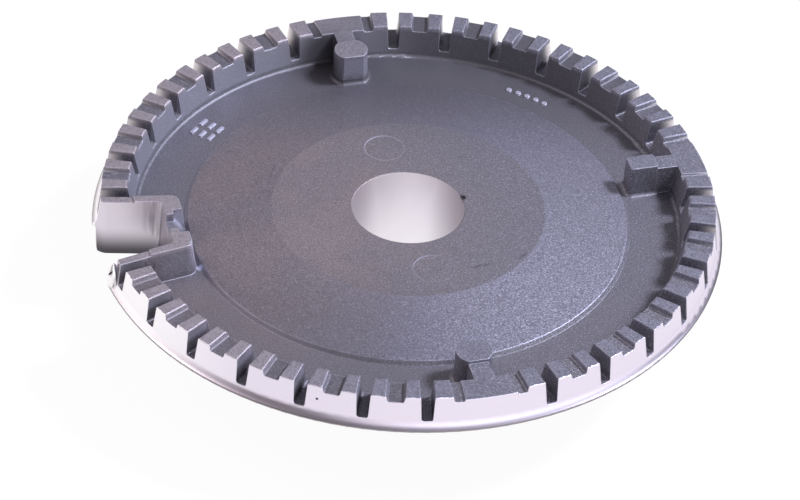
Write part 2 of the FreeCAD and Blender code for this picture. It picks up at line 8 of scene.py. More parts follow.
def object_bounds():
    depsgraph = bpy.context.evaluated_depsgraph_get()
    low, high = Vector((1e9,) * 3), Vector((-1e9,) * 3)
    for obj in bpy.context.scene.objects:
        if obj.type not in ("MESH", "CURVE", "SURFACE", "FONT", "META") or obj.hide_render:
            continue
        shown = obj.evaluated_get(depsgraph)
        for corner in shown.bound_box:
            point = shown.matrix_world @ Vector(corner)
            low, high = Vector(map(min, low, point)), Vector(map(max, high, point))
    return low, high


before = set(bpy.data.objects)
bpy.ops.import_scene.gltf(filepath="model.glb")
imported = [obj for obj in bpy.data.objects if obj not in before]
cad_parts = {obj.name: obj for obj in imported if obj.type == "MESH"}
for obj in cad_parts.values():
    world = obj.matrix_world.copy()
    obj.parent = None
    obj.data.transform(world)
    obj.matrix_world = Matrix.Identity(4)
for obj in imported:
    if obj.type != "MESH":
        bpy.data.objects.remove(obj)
CAD_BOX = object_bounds()
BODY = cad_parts["flame_spreader"]
MM = 0.001

# Camera: where the photograph was taken from, in ring radii, seen from a frame turned about the axis
RING = CAD_BOX[1][0]
LIP_PLANE = 0.015
TURN = math.radians(16.5166)
ELEVATION = math.radians(39.6078)
ROLL = math.radians(-3.2654)
DISTANCE = 10.2907
SHIFT_RIGHT = 0.0189
SHIFT_UP = 0.1034
FOCAL_PIXELS = 3237.1
IMAGE_WIDTH = 800
SENSOR = 36.0
CLIP_NEAR = 0.05
CLIP_FAR = 20.0
TO_ROW = Matrix.Rotation(-TURN, 3, "Z")


def from_view(x, y, z):
    """A direction or offset as the camera sees it, x right, y away, z up, turned to the row frame."""
    return TO_ROW @ Vector((x, y, z))


def make_camera():
    right = Vector((1, 0, 0))
    ahead = Vector((0, math.cos(ELEVATION), -math.sin(ELEVATION)))
    up = right.cross(ahead)
    place = -DISTANCE * ahead - SHIFT_RIGHT * right - SHIFT_UP * up
    across = math.cos(ROLL) * right - math.sin(ROLL) * up
    upward = math.sin(ROLL) * right + math.cos(ROLL) * up
    axes = [TO_ROW @ across, TO_ROW @ upward, TO_ROW @ -ahead]
    data = bpy.data.cameras.new("camera")
    data.sensor_width = SENSOR
    data.lens = FOCAL_PIXELS * SENSOR / IMAGE_WIDTH
    data.clip_start = CLIP_NEAR
    data.clip_end = CLIP_FAR
    camera = bpy.data.objects.new("camera", data)
    bpy.context.scene.collection.objects.link(camera)
    turned = Matrix(axes).transposed().to_4x4()
    location = TO_ROW @ place * RING + Vector((0, 0, LIP_PLANE))
    camera.matrix_world = Matrix.Translation(location) @ turned
    bpy.context.scene.camera = camera


# The Mix node's two inputs and its output, by the kind of value that it mixes
MIX_SOCKETS = {"VECTOR": (4, 5, 1), "RGBA": (6, 7, 2)}


class Nodes:
    """Builds a shader tree: each call adds one node or a few, wires the inputs and returns the result."""

    def __init__(self, tree):
        self.tree = tree
        tree.nodes.clear()

    def wire(self, node, name, value):
        socket = node.inputs[name]
        if isinstance(value, bpy.types.NodeSocket):
            self.tree.links.new(value, socket)
        else:
            socket.default_value = value

    def add(self, kind, settings=None, **inputs):
        node = self.tree.nodes.new(kind)
        for key, value in (settings or {}).items():
            setattr(node, key, value)
        for key, value in inputs.items():
            self.wire(node, key.replace("_", " "), value)
        return node

    def math(self, operation, a, b=0.0, c=0.0):
        node = self.tree.nodes.new("ShaderNodeMath")
        node.operation = operation
        for index, value in enumerate((a, b, c)):
            if index < len(node.inputs):
                self.wire(node, index, value)
        return node.outputs[0]

    def above(self, value, limit):
        return self.math("GREATER_THAN", value, limit)

    def below(self, value, limit):
        return self.math("LESS_THAN", value, limit)

    def between(self, value, low, high):
        return self.both(self.above(value, low), self.below(value, high))

    def opposite(self, mask):
        return self.math("SUBTRACT", 1.0, mask)

    def both(self, *masks):
        """The product of masks: one where all of them are one."""
        result = masks[0]
        for mask in masks[1:]:
            result = self.math("MULTIPLY", result, mask)
        return result

    def any_of(self, *masks):
        """The greatest of masks."""
        result = masks[0]
        for mask in masks[1:]:
            result = self.math("MAXIMUM", result, mask)
        return result

    def vector(self, operation, a, b=None):
        node = self.tree.nodes.new("ShaderNodeVectorMath")
        node.operation = operation
        self.wire(node, 0, a)
        if b is not None:
            self.wire(node, 1, b)
        if operation in ("DOT_PRODUCT", "LENGTH", "DISTANCE"):
            return node.outputs["Value"]
        return node.outputs[0]

    def parts(self, vector):
        """The X, Y and Z of a vector."""
        return self.add("ShaderNodeSeparateXYZ", Vector=vector).outputs

    def ramp(self, value, low, high, start=0.0, end=1.0):
        """A smooth step from start at low to end at high."""
        node = self.add("ShaderNodeMapRange", {"interpolation_type": "SMOOTHSTEP"}, Value=value)
        for name, number in (("From Min", low), ("From Max", high), ("To Min", start), ("To Max", end)):
            node.inputs[name].default_value = number
        return node.outputs[0]

    def spot(self, place, centre, radius, soft):
        """One inside a ball, falling to zero over a soft rim."""
        apart = self.vector("DISTANCE", place, centre)
        return self.ramp(apart, radius, radius + soft, 1.0, 0.0)

    def streak(self, place, start, end, radius, soft):
        """One inside a thin rod between two points, falling to zero over a soft rim."""
        along = Vector(end) - Vector(start)
        offset = self.vector("SUBTRACT", place, start)
        share = self.vector("DOT_PRODUCT", offset, tuple(along / along.length_squared))
        node = self.tree.nodes.new("ShaderNodeVectorMath")
        node.operation = "SCALE"
        self.wire(node, 0, tuple(along))
        self.wire(node, "Scale", self.math("MINIMUM", self.math("MAXIMUM", share, 0.0), 1.0))
        apart = self.vector("DISTANCE", offset, node.outputs[0])
        return self.ramp(apart, radius, radius + soft, 1.0, 0.0)

    def noise(self, place, scale, detail=2.0, roughness=0.5):
        node = self.add("ShaderNodeTexNoise", Vector=place, Scale=scale, Detail=detail, Roughness=roughness)
        return node.outputs["Fac"]

    def mix(self, share, a, b, label="", kind="RGBA"):
        """From a at share 0 to b at share 1."""
        node = self.add("ShaderNodeMix", {"data_type": kind, "label": label})
        first, second, result = MIX_SOCKETS[kind]
        for index, value in ((0, share), (first, a), (second, b)):
            self.wire(node, index, value)
        return node.outputs[result]

    def mix_shaders(self, share, a, b):
        node = self.tree.nodes.new("ShaderNodeMixShader")
        for index, value in enumerate((share, a, b)):
            self.wire(node, index, value)
        return node.outputs[0]


def new_material(name):
    material = bpy.data.materials.new(name)
    material.use_nodes = True
    return material, Nodes(material.node_tree)


def grey(level):
    return (level, level, level, 1.0)


# Colours of the metal
CAST_COOL = (0.184, 0.178, 0.212, 1.0)
CAST_WARM = (0.268, 0.220, 0.228, 1.0)
# Dark grain and blotches, and painted shade at the back, front left, gutter and foot of the right wall
CAST_DARK = (0.105, 0.100, 0.118, 1.0)
# Light grain and glints, and painted light on posts, walls, ports and the step
CAST_LIGHT = (0.470, 0.470, 0.570, 1.0)
# Lighter colour for edges and marks: partly wear, partly painted highlight
WEAR_AND_HIGHLIGHT = (0.560, 0.560, 0.680, 1.0)
# The cone's bluer tone, and its painted sheen on the right
CONE_BLUE = (0.300, 0.298, 0.410, 1.0)
CREST_WARM = (0.400, 0.355, 0.390, 1.0)
CREST_COOL = (0.250, 0.250, 0.330, 1.0)
SPARK = (0.620, 0.620, 0.780, 1.0)
# Painted shade in the front ports
PORT_SHADE = (0.085, 0.073, 0.078, 1.0)
PORT_END = (0.960, 0.900, 0.880, 1.0)
BRIGHT = (1.000, 0.955, 1.000, 1.0)
BAND_BRIGHT = (0.820, 0.750, 0.860, 1.0)
# Painted sheen: the band is lighter at its far left
BAND_LEFT_SHEEN = (0.960, 0.930, 0.950, 1.0)
CUT_BRIGHT = (0.765, 0.705, 0.780, 1.0)
# Painted shade in the hole
HOLE_SHADE = (0.240, 0.215, 0.235, 1.0)
# Painted shade: the dark line at the lip's rim
LIP_SHADE_LINE = (0.340, 0.300, 0.320, 1.0)
# Dark scuffs, a nick, pits and a slot, and painted shade and shadow
DARK_MARK_AND_SHADE = (0.060, 0.056, 0.066, 1.0)

# Keeps a vector's X and Y and drops its Z
FLATTEN = (1.0, 1.0, 0.0)

# Sizes of the casting, in millimetres
DISC_RADIUS = 21.7
DISC_LEVEL = 16.95
CONE_END = 34.9
STEP_FOOT = 35.3
GUTTER_TOP = 15.9
POST_BACK = 41.3
PORT_START = 44.6
CREST = CAD_BOX[1][2] / MM
BAND_RADIUS = 48.2
LIP_RADIUS = 49.3
LIP_LINE = 49.86
LIP_TOP = 15.4
HOLE_RADIUS = 9.05
TUBE_RADIUS = 14.0
TUBE_END = 0.3
SKIRT_RADIUS = 44.0
SKIRT_TOP = 14.7
CUT_END = 38.35
CUT_ROOT = 38.7
CUT_HALF_WIDTH = 5.55
CUT_SLOPE = 0.229
SWELL_MIDDLE = (-48.77, -7.41, 0.0)
SWELL_RADIUS = 1.3
SWELL_END = -47.5
EDGE_RADIUS = 0.24
STEP_EDGE = (STEP_FOOT - 0.50, STEP_FOOT + 0.10)
STEP_CORNER = (STEP_FOOT - 0.25, STEP_FOOT + 0.95)
STEP_RIM = (STEP_FOOT - 1.0, STEP_FOOT)
CREST_RISE = (CREST - 0.9, CREST - 0.3)
CONE_RISE = (DISC_RADIUS - 0.15, DISC_RADIUS + 0.15)

# Least or greatest parts of a face's direction: up for a wall, out for the band, the hole and the swelling
WALL_UP = 0.5
SWELL_UP = 0.9
SWELL_OUT = 0.15
BAND_OUT = 0.55
HOLE_OUT = -0.88

# Places of the marks and flaws on the cast skin, in millimetres
WARM_MIDDLE = (-22.0, -6.0, 15.0)
POST_SHADOW_MIDDLE = (-14.8, 39.2, 16.5)
BAR_MIDDLE = (-26.6, 28.4, 15.2)
DOT_MIDDLE = (27.6, 27.1, 15.2)
GROUP_REACH = (4.6, 0.4)
POST_REACH = (2.6, 5.0)
MARK_BAND = (36.3, 42.2)
MARK_FOOT = 15.1
NICK = (9.05, 0.6, 17.0)
RING_MARKS = (((0.0, 15.5, 17.2), 0.30), ((0.0, -15.5, 17.2), 0.16))
RING_RADIUS = 3.2
RING_WIDTH = 0.22

# Noise on the cast skin and the machined metal: scale per millimetre, detail and roughness
SPECKLE = (3.6, 2.0, 0.65)
GLINT = (5.2, 1.0)
BLOTCH = (0.8, 3.0, 0.65)
CLOUD = (0.06, 3.0)
SHADE_STREAK = (1.8, 2.0)
TURNING = (9.0, 1.0)

# Spans of the soft masks: low, high and, where they aren't 0 and 1, the values at both. ACROSS and AWAY are
# measured from the axis, to the camera's right and away from it, in millimetres.
WARM_REACH = (12.0, 42.0, 1.0, 0.1)
WARM_CLOUD = (0.35, 0.6, 0.6, 1.0)
WARM_AWAY = (-14.0, -24.0)
CREST_ACROSS = (-30.0, 10.0)
CREST_SHARE = (0.8, 0.5)
BACK_SHADE_AWAY = (12.0, 36.0)
BACK_SHADE_ACROSS = (-34.0, -10.0, 0.3, 1.0)
BACK_POSTS = (15.0, 25.0, 0.0, 0.36)
LEFT_POSTS = (-15.0, -25.0, 0.0, 0.16)
FRONT_PORTS_ACROSS = (20.0, -5.0)
FRONT_PORTS_AWAY = (-10.0, -25.0)
FACES_LEFT = (0.1, 0.6)
COARSE_ACROSS = (-10.0, 20.0)
COARSE_AWAY = (20.0, -15.0, 0.3, 1.0)
STEP_LEFT = (0.0, -22.0)
TURNED_AWAY = (0.01, 0.16)
OFF_NICK = (0.9, 1.3)

# Limits and spans on the machined metal; the hole's sides are in shares of its radius
CUT_SIDE = 8.0
CUT_INNER = -30.0
HOLE_REGION = 12.0
BAND_REGION = 20.0
SHINE_ACROSS = (-20.0, -42.0)
HOLE_RIGHT = (0.25, 1.0, 0.0, 0.68)
HOLE_LEFT = (-0.45, -1.0, 0.0, 0.55)
HOLE_HIGH = (9.0, 17.0, 0.0, 0.14)
RIM_WIDTH = 0.12
CUT_SHADE_HEIGHT = (10.8, 15.6, 0.97, 0.08)
SHADE_STREAK_SPAN = (0.35, 0.65, 0.4, 1.0)
CUT_SHADE_INWARD = (-43.0, -39.6, 0.0, 0.55)
LIP_ROOT = 16.0
LIP_LEVEL = (0.50, 0.95)
LIP_ACROSS = (-20.0, 15.0, 0.4, 0.78)

# Bumps and gloss: strength, depth in metres, shares of the two noises in the grain, spans of the roughness
EDGE_SAMPLES = 6
DISC_SHARP = 0.7
CAST_BUMP = 0.5
CAST_DEPTH = 0.06 * MM
GRAIN_SPECKLE = 0.7
GRAIN_BLOTCH = 0.5
TURNED_BUMP = 0.18
TURNED_DEPTH = 0.01 * MM
CAST_METALLIC = 0.72
CAST_ROUGHNESS = (0.3, 0.7, 0.48, 0.60)
CONE_SMOOTHER = -0.07
BRIGHT_ROUGHNESS = (9.5, 30.0, 0.50, 0.34)

# Thin lines on the cast skin: start, end, radius and soft rim in millimetres, share, colour. The last two
# are painted highlights, along the chute's outer corner and along the foot of its wall.
LINES = (
    ((6.2, -16.6, 17.25), (7.5, -16.1, 17.25), 0.06, 0.22, 0.55, DARK_MARK_AND_SHADE),
    ((7.9, -16.5, 17.25), (8.6, -16.1, 17.25), 0.06, 0.22, 0.55, DARK_MARK_AND_SHADE),
    ((13.9, -15.7, 17.25), (15.0, -15.0, 17.25), 0.06, 0.22, 0.55, DARK_MARK_AND_SHADE),
    ((-36.1, -5.5, 20.2), (-35.4, -5.4, 15.4), 0.20, 0.50, 0.60, WEAR_AND_HIGHLIGHT),
    ((-35.8, -5.75, 15.2), (-41.0, -7.35, 15.1), 0.10, 0.30, 0.55, SPARK),
)

# Spots on the cast skin: centre, radius and soft rim in millimetres, share, colour. The first is a painted
# highlight at the foot of the chute's corner, the second painted light on the side wall of the ramp.
SPOTS = (
    ((-34.9, -5.7, 15.2), 0.25, 0.50, 0.85, SPARK),
    ((-36.2, 2.6, 18.6), 1.00, 1.20, 0.60, WEAR_AND_HIGHLIGHT),
    ((-27.72, -33.24, 20.35), 0.20, 0.25, 1.00, WEAR_AND_HIGHLIGHT),
    (NICK, 0.50, 0.50, 0.60, DARK_MARK_AND_SHADE),
)

# Flaws in the turned band: a slot in the swelling and pits
SLOT = ((-49.55, -8.05, 18.2), (-48.65, -8.35, 19.2), 0.10, 0.10)
PITS = (((11.13, -47.9, 18.0), 0.16, 0.10), ((-24.8, -41.9, 18.2), 0.20, 0.10))

# A colour layer lays its colour over the skin: grain, blotches and tints of the metal, or painted shade and
# light.
# Its share is multiplied by its masks and by its spans, which are ramps over a measure of the surface: low,
# high and, where they aren't 0 and 1, the values at both.
StainOrPaintedLight = namedtuple("StainOrPaintedLight", "label colour share masks spans")

GRAIN_AND_FLOOR = (
    StainOrPaintedLight("dark blotches", CAST_DARK, 1.0, (), {"blotch": (0.50, 0.75, 0.0, 0.22)}),
    StainOrPaintedLight("dark grain", CAST_DARK, 1.0, (), {"speckle": (0.50, 0.28, 0.0, 0.50)}),
    StainOrPaintedLight("light grain", CAST_LIGHT, 1.0, (), {"speckle": (0.50, 0.72, 0.0, 0.42)}),
    # The cone's own bluer tone, with a painted sheen that grows to the right
    StainOrPaintedLight("blue cone with painted sheen", CONE_BLUE, 1.0, ("on_cone",), {"across": (-25.0, 15.0, 0.1, 0.4)}),
    # Painted shade in the gutter, where the walls shut out light
    StainOrPaintedLight("gutter", CAST_DARK, 0.15, ("in_gutter",), {}),
    # Painted shade over the back of the casting, away from the camera
    StainOrPaintedLight("painted shade at the back", CAST_DARK, 0.66, ("painted_back_shade",), {}),
    # Painted shade on the front left, the side turned away from the key lamp
    StainOrPaintedLight("painted shade at the front left", CAST_DARK, 1.0, ("on_face",),
          {"away": (-12.0, -28.0), "across": (14.0, -6.0), "inside": (0.0, 1.0, 0.13, 0.30)}),
    # Painted light on the posts at the back and left, fading towards their feet and the wall
    StainOrPaintedLight("painted light on back and left posts", CAST_LIGHT, 1.0, ("on_face", "outside", "back_or_left"),
          {"height": (14.9, 17.4), "radius": (43.5, 39.5)}),
    # Painted shadow of the teeth on the floor at the foot of the right wall
    StainOrPaintedLight("painted shadow at the foot of the right wall", CAST_DARK, 0.50, ("low",),
          {"radius": (39.0, 42.5), "across": (24.0, 36.0)}),
    # Painted light lifting the shade on the left of the step
    StainOrPaintedLight("painted light left of the step", CAST_LIGHT, 0.30, ("on_step",), {"across": STEP_LEFT}),
)

PORTS_AND_WALL = (
    StainOrPaintedLight("dark crest grain", CAST_DARK, 1.0, ("on_crest",), {"speckle": (0.52, 0.32, 0.0, 0.45)}),
    # Painted light high in the front ports, painted shade deep in them and on their floors
    StainOrPaintedLight("painted light atop front ports", CAST_LIGHT, 1.0, ("front_ports", "upright"),
          {"height": (18.2, 19.2, 0.0, 0.50)}),
    StainOrPaintedLight("painted shade deep in front ports", PORT_SHADE, 1.0, ("front_ports", "upright"),
          {"height": (18.9, 17.4, 0.0, 0.65)}),
    StainOrPaintedLight("painted shade on front port floors", PORT_SHADE, 0.25, ("front_ports", "level"), {}),
    # Painted light on the left part of the inner wall
    StainOrPaintedLight("painted light on the left inner wall", CAST_LIGHT, 0.32, ("on_face", "before_ports"),
          {"radius": (41.2, 42.2), "height": (15.4, 16.2), "across": (2.0, -14.0), "away": (-14.0, 2.0)}),
    # Painted shadow of the back post on the wall and floor to its left
    StainOrPaintedLight("painted shadow behind the post", DARK_MARK_AND_SHADE, 0.88, ("on_face", "post_shadow"), {}),
    StainOrPaintedLight("ends of back ports", PORT_END, 0.85, ("in_ports", "upright"),
          {"radius": (45.6, 49.0), "away": (-16.0, 0.0)}),
)

GLINTS_AND_EDGES = (
    StainOrPaintedLight("glints", CAST_LIGHT, 1.0, ("off_painted_back_shade",),
          {"glint": (0.60, 0.74), "across": (-10.0, 30.0, 0.3, 1.0)}),
    # On the cone's right front the grain is coarser, and its light specks are painted sparkle
    StainOrPaintedLight("coarse grain and painted sparkle", SPARK, 1.0, ("on_cone", "coarse"), {"speckle": (0.50, 0.66, 0.0, 0.28)}),
    StainOrPaintedLight("coarse dark grain", CAST_DARK, 1.0, ("on_cone", "coarse"), {"speckle": (0.50, 0.36, 0.0, 0.30)}),
    # Lighter edges, fillets too: partly wear, partly painted highlight
    StainOrPaintedLight("worn edges", WEAR_AND_HIGHLIGHT, 0.60, ("worn_and_highlit",), {}),
    # Painted highlight on the raised bars and dots
    StainOrPaintedLight("painted highlight on raised marks", SPARK, 0.60, ("on_marks",), {}),
)


class Surface:
    """Where a point of the casting lies, in millimetres, how it faces, and the masks for its colour layers,
    painted shade and light among them.
    """

    def __init__(self, n):
        self.n = n
        self.measure()
        self.mask_shape()
        self.mask_stains()
        self.mask_edges()

    def measure(self):
        n = self.n
        metres = n.add("ShaderNodeTexCoord").outputs["Object"]
        self.place = n.vector("MULTIPLY", metres, (1 / MM, 1 / MM, 1 / MM))
        self.facing = n.add("ShaderNodeNewGeometry").outputs["Normal"]
        self.flat = n.vector("MULTIPLY", self.place, FLATTEN)
        self.radius = n.vector("LENGTH", self.flat)
        self.outward = n.vector("DOT_PRODUCT", self.facing, n.vector("NORMALIZE", self.flat))
        self.upward = n.parts(self.facing)["Z"]
        split = n.parts(self.place)
        self.x = split["X"]
        self.y = split["Y"]
        self.height = split["Z"]
        self.across = n.vector("DOT_PRODUCT", self.place, tuple(from_view(1, 0, 0)))
        self.away = n.vector("DOT_PRODUCT", self.place, tuple(from_view(0, 1, 0)))
        self.speckle = n.noise(self.place, *SPECKLE)
        self.glint = n.noise(self.place, *GLINT)
        self.blotch = n.noise(self.place, *BLOTCH)

    def mask_shape(self):
        n = self.n
        self.on_disc = n.both(n.below(self.radius, DISC_RADIUS), n.above(self.height, DISC_LEVEL))
        self.on_cone = n.both(n.ramp(self.radius, *CONE_RISE), n.below(self.radius, CONE_END))
        self.on_crest = n.ramp(self.height, *CREST_RISE)
        self.on_face = n.opposite(self.on_crest)
        self.low = n.below(self.height, GUTTER_TOP)
        self.inside = n.below(self.radius, STEP_FOOT)
        self.outside = n.opposite(self.inside)
        self.in_gutter = n.both(n.above(self.radius, STEP_FOOT), self.low)
        self.on_step = n.both(n.between(self.radius, *STEP_EDGE), self.low)
        self.off_posts = n.any_of(self.low, n.above(self.radius, POST_BACK), self.inside)
        self.upright = n.below(self.upward, WALL_UP)
        self.level = n.opposite(self.upright)
        self.before_ports = n.below(self.radius, PORT_START)
        self.in_ports = n.both(n.above(self.radius, PORT_START), self.on_face)

    def mask_stains(self):
        n = self.n
        # Painted shade: faces towards the back are darkened, less so at the left, posts left out; glints
        # are kept off it
        self.painted_back_shade = n.both(n.ramp(self.away, *BACK_SHADE_AWAY), n.ramp(self.across, *BACK_SHADE_ACROSS),
                              self.on_face, self.off_posts)
        self.off_painted_back_shade = n.opposite(self.painted_back_shade)
        self.back_or_left = n.any_of(n.ramp(self.away, *BACK_POSTS), n.ramp(self.across, *LEFT_POSTS))
        self.front_ports = n.both(self.in_ports, n.ramp(self.across, *FRONT_PORTS_ACROSS),
                                  n.ramp(self.away, *FRONT_PORTS_AWAY))
        leftward = n.vector("DOT_PRODUCT", self.facing, tuple(from_view(-1, 0, 0)))
        # Painted shadow of the back post: a ball, holding the post's own left faces
        self.post_shadow = n.both(n.spot(self.place, tuple(from_view(*POST_SHADOW_MIDDLE)), *POST_REACH),
                                  n.any_of(self.off_posts, n.ramp(leftward, *FACES_LEFT)))
        self.coarse = n.both(n.ramp(self.across, *COARSE_ACROSS), n.ramp(self.away, *COARSE_AWAY))
        # Where the raised bars and dots get their painted highlight
        near_marks = n.any_of(n.spot(self.place, BAR_MIDDLE, *GROUP_REACH),
                              n.spot(self.place, DOT_MIDDLE, *GROUP_REACH))
        self.on_marks = n.both(near_marks, n.above(self.height, MARK_FOOT),
                               n.between(self.radius, *MARK_BAND))

    def mask_edges(self):
        """Rounds the edges for shading, less so on the disc, and finds how far that turns the surface."""
        n = self.n
        bevelled = n.add("ShaderNodeBevel", {"samples": EDGE_SAMPLES}, Radius=EDGE_RADIUS * MM).outputs[0]
        sharper = n.math("MULTIPLY", self.on_disc, DISC_SHARP)
        self.rounded = n.mix(sharper, bevelled, self.facing, "rounded edges", "VECTOR")
        turned_away = n.opposite(n.vector("DOT_PRODUCT", self.rounded, self.facing))
        step_foot = n.both(self.low, n.between(self.radius, *STEP_CORNER))
        step_top = n.both(self.low, n.between(self.radius, *STEP_RIM), n.ramp(self.across, *STEP_LEFT))
        off_nick = n.ramp(n.vector("DISTANCE", self.place, NICK), *OFF_NICK)
        # Edges turned by the rounding get a lighter colour: partly wear, partly painted highlight
        self.worn_and_highlit = n.both(n.ramp(turned_away, *TURNED_AWAY), off_nick,
                           n.opposite(n.any_of(step_foot, step_top)))

    def machined(self):
        """One on the turned band, lip and skirt, in the hole, on the tube's end and in the cut-out."""
        n = self.n
        band = n.both(n.above(self.radius, BAND_RADIUS), n.above(self.outward, BAND_OUT))
        lip = n.above(self.radius, LIP_RADIUS)
        hole = n.both(n.below(self.radius, HOLE_RADIUS), n.below(self.outward, HOLE_OUT))
        reach = n.math("MULTIPLY_ADD", self.x, -CUT_SLOPE, CUT_HALF_WIDTH - CUT_ROOT * CUT_SLOPE)
        cut = n.both(n.below(n.math("ABSOLUTE", self.y), reach), n.below(self.x, -CUT_END),
                     n.below(n.math("ABSOLUTE", self.upward), WALL_UP))
        beside_swell = n.vector("SUBTRACT", self.place, SWELL_MIDDLE)
        off_swell = n.vector("LENGTH", n.vector("MULTIPLY", beside_swell, FLATTEN))
        swell = n.both(n.below(off_swell, SWELL_RADIUS), n.below(self.upward, SWELL_UP),
                       n.below(self.x, SWELL_END), n.above(self.outward, SWELL_OUT))
        tube_end = n.both(n.below(self.height, TUBE_END), n.below(self.radius, TUBE_RADIUS))
        skirt = n.both(n.above(self.radius, SKIRT_RADIUS), n.below(self.height, SKIRT_TOP))
        return n.any_of(band, lip, hole, cut, swell, tube_end, skirt)


def lay_colour_layers(n, surface, skin, layers):
    """Lays the colour layers, painted shade and light among them, over the skin, one after another."""
    for layer in layers:
        shares = [getattr(surface, mask) for mask in layer.masks]
        shares += [n.ramp(getattr(surface, measure), *span) for measure, span in layer.spans.items()]
        skin = n.mix(n.both(*shares, layer.share), skin, layer.colour, layer.label)
    return skin


def cast_colour(n, surface):
    """Cool and warm skin with grain, blotches, painted shade and light, tinted crest, edges lighter from
    wear and painted highlight, and small flaws.
    """
    off_warm = n.vector("DISTANCE", surface.place, tuple(from_view(*WARM_MIDDLE)))
    patches = n.both(n.ramp(off_warm, *WARM_REACH), n.ramp(n.noise(surface.place, *CLOUD), *WARM_CLOUD))
    warm = n.both(patches, n.any_of(surface.inside, surface.on_crest, n.ramp(surface.away, *WARM_AWAY)))
    skin = n.mix(warm, CAST_COOL, CAST_WARM, "warm patches")
    skin = lay_colour_layers(n, surface, skin, GRAIN_AND_FLOOR)
    crest_tint = n.mix(n.ramp(surface.across, *CREST_ACROSS), CREST_WARM, CREST_COOL)
    crest_share = n.both(surface.on_crest, n.ramp(surface.across, *CREST_ACROSS, *CREST_SHARE))
    skin = n.mix(crest_share, skin, crest_tint, "crest")
    skin = lay_colour_layers(n, surface, skin, PORTS_AND_WALL)
    skin = lay_colour_layers(n, surface, skin, GLINTS_AND_EDGES)
    for middle, share in RING_MARKS:
        off_ring = n.math("SUBTRACT", n.vector("DISTANCE", surface.place, middle), RING_RADIUS)
        ring = n.ramp(n.math("ABSOLUTE", off_ring), 0.0, RING_WIDTH, share, 0.0)
        skin = n.mix(ring, skin, WEAR_AND_HIGHLIGHT, "ejector mark")
    for start, end, radius, soft, share, colour in LINES:
        skin = n.mix(n.both(n.streak(surface.place, start, end, radius, soft), share), skin, colour, "line")
    for centre, radius, soft, share, colour in SPOTS:
        skin = n.mix(n.both(n.spot(surface.place, centre, radius, soft), share), skin, colour, "spot")
    return skin


def machined_colour(n, surface):
    """Bright metal with painted shade: dimmer at the hole's sides and top, darker low in the cut-out and
    towards its inner end, a dark line at the lip's rim and a darker lip top; a painted sheen on the band's
    left; and flaws.
    """
    height, radius, across = surface.height, surface.radius, surface.across
    beside_lug = n.any_of(n.below(radius, LIP_RADIUS), n.above(surface.y, 0.0))
    in_cut = n.both(n.below(n.math("ABSOLUTE", surface.y), CUT_SIDE), beside_lug,
                    n.below(surface.x, CUT_INNER))
    # Painted sheen: the band turns lighter towards its far left
    band = n.mix(n.ramp(across, *SHINE_ACROSS), BAND_BRIGHT, BAND_LEFT_SHEEN)
    shine = n.mix(in_cut, n.mix(n.above(radius, BAND_REGION), BRIGHT, band), CUT_BRIGHT)
    # Painted shade in the hole: darker at its sides and towards its top
    beside = n.math("DIVIDE", across, HOLE_RADIUS)
    dim = n.any_of(n.ramp(beside, *HOLE_RIGHT), n.ramp(beside, *HOLE_LEFT), n.ramp(height, *HOLE_HIGH))
    shine = n.mix(n.both(dim, n.below(radius, HOLE_REGION)), shine, HOLE_SHADE, "hole")
    # Painted shade: a dark line round the rim of the lip
    at_rim = n.both(n.ramp(radius, LIP_LINE, LIP_LINE + RIM_WIDTH), n.below(height, LIP_TOP))
    shine = n.mix(at_rim, shine, LIP_SHADE_LINE, "rim")
    # Painted shade low on the cut-out's walls and, broken into streaks, towards its inner end
    shade_low_in_cut = n.both(in_cut, n.ramp(height, *CUT_SHADE_HEIGHT))
    streaks = n.ramp(n.noise(surface.flat, *SHADE_STREAK), *SHADE_STREAK_SPAN)
    shaded = n.both(in_cut, streaks, n.ramp(surface.x, *CUT_SHADE_INWARD))
    # Painted shade on the lip's upward faces, stronger to the right
    shade_on_lip = n.both(n.above(radius, BAND_RADIUS), n.below(height, LIP_ROOT),
                    n.ramp(surface.upward, *LIP_LEVEL), n.ramp(across, *LIP_ACROSS))
    flaws = [n.spot(surface.place, *pit) for pit in PITS]
    flaws.append(n.streak(surface.place, *SLOT))
    return n.mix(n.any_of(shade_low_in_cut, shaded, shade_on_lip, *flaws), shine, DARK_MARK_AND_SHADE, "painted shade and flaws")


def alloy_material():
    """As-cast grain all over, and bright machined metal on the band, in the hole and in the cut-out."""
    material, n = new_material("cast_alloy")
    surface = Surface(n)
    grain = n.math("ADD", n.math("MULTIPLY", surface.speckle, GRAIN_SPECKLE),
                   n.math("MULTIPLY", surface.blotch, GRAIN_BLOTCH))
    cast_bump = n.add("ShaderNodeBump", Strength=CAST_BUMP, Distance=CAST_DEPTH, Height=grain,
                      Normal=surface.rounded)
    cast = n.add("ShaderNodeBsdfPrincipled", Base_Color=cast_colour(n, surface), Metallic=CAST_METALLIC,
                 Normal=cast_bump.outputs[0])
    skin_roughness = n.ramp(surface.speckle, *CAST_ROUGHNESS)
    n.wire(cast, "Roughness", n.math("MULTIPLY_ADD", surface.on_cone, CONE_SMOOTHER, skin_roughness))

    turning = n.add("ShaderNodeCombineXYZ", X=surface.radius, Y=0.0, Z=surface.height).outputs[0]
    turned_bump = n.add("ShaderNodeBump", Strength=TURNED_BUMP, Distance=TURNED_DEPTH,
                        Height=n.noise(turning, *TURNING), Normal=surface.rounded)
    bright = n.add("ShaderNodeBsdfPrincipled", Base_Color=machined_colour(n, surface), Metallic=1.0,
                   Normal=turned_bump.outputs[0])
    n.wire(bright, "Roughness", n.ramp(surface.radius, *BRIGHT_ROUGHNESS))
    joined = n.mix_shaders(surface.machined(), cast.outputs[0], bright.outputs[0])
    n.add("ShaderNodeOutputMaterial", Surface=joined)
    return material


def dress_body():
    """Gives the casting its material; the shape itself is the CAD's."""
    BODY.data.materials.clear()
    BODY.data.materials.append(alloy_material())


